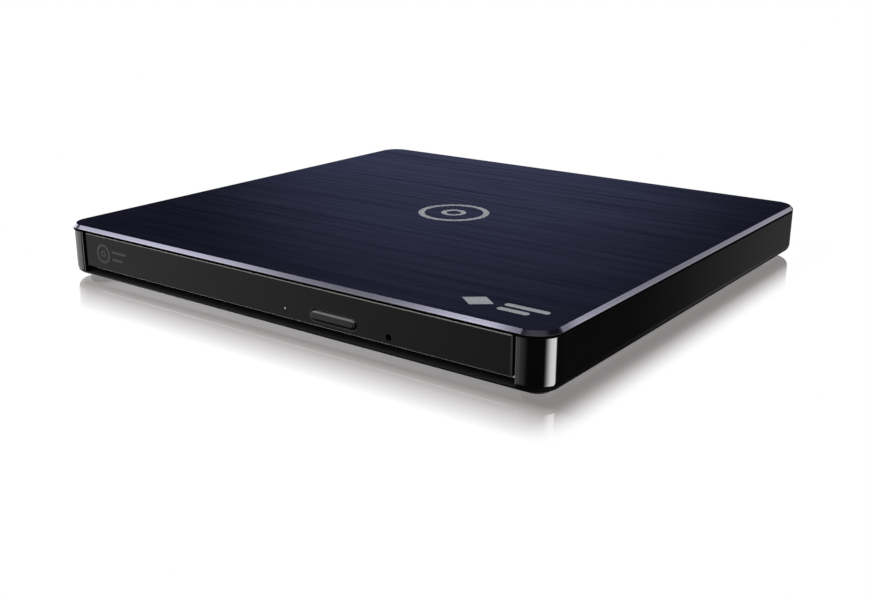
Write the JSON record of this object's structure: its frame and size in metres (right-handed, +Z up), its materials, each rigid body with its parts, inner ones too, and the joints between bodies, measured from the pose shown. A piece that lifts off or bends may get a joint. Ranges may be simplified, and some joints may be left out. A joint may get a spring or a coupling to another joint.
{
  "type": "external optical drive",
  "caption": "Slim external optical disc drive: flat case with a sliding disc tray, spindle with chucking hub, screw-driven pickup, latch, eject button and rear data socket.",
  "frame": {"origin": "centre of the footprint, on the table plane under the feet", "axes": "+Z up; the tray opens towards -Y; +X is to the right seen from the front"},
  "size_m": [0.144, 0.137, 0.014],
  "materials": {
    "brushed_top": "hairline-brushed, dark anodised with a bright bevelled edge",
    "gloss_case": "high gloss black",
    "satin_case": "satin black",
    "bezel_plastic": "semi-gloss black",
    "button_plastic": "glossy grey",
    "tray_plastic": "fine textured black",
    "hub_plastic": "satin moulded",
    "nylon_black": "moulded",
    "nylon_white": "moulded",
    "lens_plastic": "moulded",
    "connector_black": "moulded",
    "foot_rubber": "matt",
    "damper_rubber": "matt",
    "plated_steel": "zinc plated sheet",
    "black_steel": "black coated sheet",
    "ground_steel": "ground",
    "spring_steel": "drawn wire",
    "lamination_steel": "coated laminations",
    "black_screw": "black oxide",
    "pickup_alloy": "die cast",
    "bearing_brass": "sintered",
    "copper": "enamelled wire",
    "gold": "gold plated",
    "magnet": "sintered",
    "circuit_board": "solder mask",
    "cable_film": "polyester film",
    "clear_plastic": "clear moulded",
    "lens_glass": "coated"
  },
  "bodies": {
    "case": {"top_plate": "brushed_top", "upper_case": "gloss_case", "base_cover": "satin_case", "rubber_feet": "foot_rubber", "case_screws": "black_screw", "bridge_board": "circuit_board", "bridge_connector": "connector_black", "usb_shell": "plated_steel", "usb_insulator": "connector_black", "usb_contacts": "gold", "chassis_pan": "plated_steel", "drive_cover": "plated_steel", "cover_screws": "black_screw", "drive_connector": "connector_black", "rail_guide_left": "nylon_black", "rail_guide_right": "nylon_black", "flat_cable": "cable_film"},
    "rail_left": {"rail_left": "plated_steel"},
    "rail_right": {"rail_right": "plated_steel"},
    "tray": {"tray": "tray_plastic", "bezel": "bezel_plastic", "light_pipe": "clear_plastic", "front_board": "circuit_board", "eject_switch": "plated_steel", "status_led": "clear_plastic", "solenoid_body": "plated_steel", "main_board": "circuit_board", "tray_underside": "plated_steel", "underside_screws": "black_screw", "traverse_deck": "plated_steel", "traverse_cover": "black_steel", "rod_clips": "nylon_black", "guide_rods": "ground_steel", "damper_grommets": "damper_rubber", "damper_screws": "plated_steel", "spindle_base": "plated_steel", "spindle_bearing": "bearing_brass", "stator_core": "lamination_steel", "stator_coils": "copper", "sled_motor": "plated_steel", "ejector_spring": "spring_steel"},
    "eject_button": {"eject_button": "button_plastic"},
    "rotor": {"rotor_can": "plated_steel", "rotor_magnet": "magnet", "spindle_shaft": "ground_steel", "turntable": "hub_plastic", "friction_ring": "damper_rubber"},
    "jaw_1": {"jaw_1": "hub_plastic"},
    "jaw_2": {"jaw_2": "hub_plastic"},
    "jaw_3": {"jaw_3": "hub_plastic"},
    "lead_screw": {"lead_screw": "ground_steel"},
    "pickup": {"pickup_body": "pickup_alloy", "pickup_shield": "black_steel", "actuator_magnets": "magnet", "screw_follower": "nylon_white"},
    "lens": {"lens_holder": "lens_plastic", "objective_lenses": "lens_glass"},
    "latch_lever": {"latch_lever": "nylon_white"},
    "solenoid_plunger": {"solenoid_plunger": "plated_steel"},
    "ejector_rod": {"ejector_rod": "nylon_white"}
  },
  "joints": [
    {"name": "tray_slide", "type": "slide", "parent": "case", "child": "tray", "axis": [0, -1, 0], "range_m": [0, 0.126], "deforming": ["flat_cable"]},
    {"name": "rail_left_slide", "type": "slide", "parent": "case", "child": "rail_left", "axis": [0, -1, 0], "range_m": [0, 0.063]},
    {"name": "rail_right_slide", "type": "slide", "parent": "case", "child": "rail_right", "axis": [0, -1, 0], "range_m": [0, 0.063]},
    {"name": "eject_button_press", "type": "slide", "parent": "tray", "child": "eject_button", "axis": [0, 1, 0], "range_m": [0, 0.0008], "stiffness_N_per_m": 20},
    {"name": "spindle_spin", "type": "hinge", "parent": "tray", "child": "rotor", "pos_m": [0, -0.004, 0], "axis": [0, 0, 1], "continuous": true},
    {"name": "pickup_slide", "type": "slide", "parent": "tray", "child": "pickup", "axis": [-0.7071, -0.7071, 0], "range_m": [-0.002, 0.031]},
    {"name": "lead_screw_spin", "type": "hinge", "parent": "tray", "child": "lead_screw", "pos_m": [0.00212, -0.03016, 0.0057], "axis": [-0.7071, -0.7071, 0], "range_deg": [-3722, 242]},
    {"name": "lens_focus", "type": "slide", "parent": "pickup", "child": "lens", "axis": [0, 0, 1], "range_m": [-0.0003, 0.0004]},
    {"name": "latch_swing", "type": "hinge", "parent": "tray", "child": "latch_lever", "pos_m": [0.05, -0.061, 0], "axis": [0, 0, 1], "range_deg": [0, 8]},
    {"name": "solenoid_slide", "type": "slide", "parent": "tray", "child": "solenoid_plunger", "axis": [0, -1, 0], "range_m": [0, 0.0014]},
    {"name": "ejector_slide", "type": "slide", "parent": "tray", "child": "ejector_rod", "axis": [0, 1, 0], "range_m": [0, 0.0151], "deforming": ["ejector_spring"]},
    {"name": "jaw_1_slide", "type": "slide", "parent": "rotor", "child": "jaw_1", "axis": [-0.7071, 0.7071, 0], "range_m": [0, 0.0004]},
    {"name": "jaw_2_slide", "type": "slide", "parent": "rotor", "child": "jaw_2", "axis": [-0.2588, -0.9659, 0], "range_m": [0, 0.0004]},
    {"name": "jaw_3_slide", "type": "slide", "parent": "rotor", "child": "jaw_3", "axis": [0.9659, 0.2588, 0], "range_m": [0, 0.0004]}
  ],
  "couplings": [
    {"joint": "rail_left_slide", "follows": "tray_slide", "ratio": 0.5},
    {"joint": "rail_right_slide", "follows": "tray_slide", "ratio": 0.5},
    {"joint": "ejector_slide", "follows": "tray_slide", "ratio": 0.11905},
    {"joint": "lead_screw_spin", "follows": "pickup_slide", "rad_per_m": -2094.4},
    {"joint": "latch_swing", "follows": "solenoid_slide", "rad_per_m": 99.7}
  ]
}
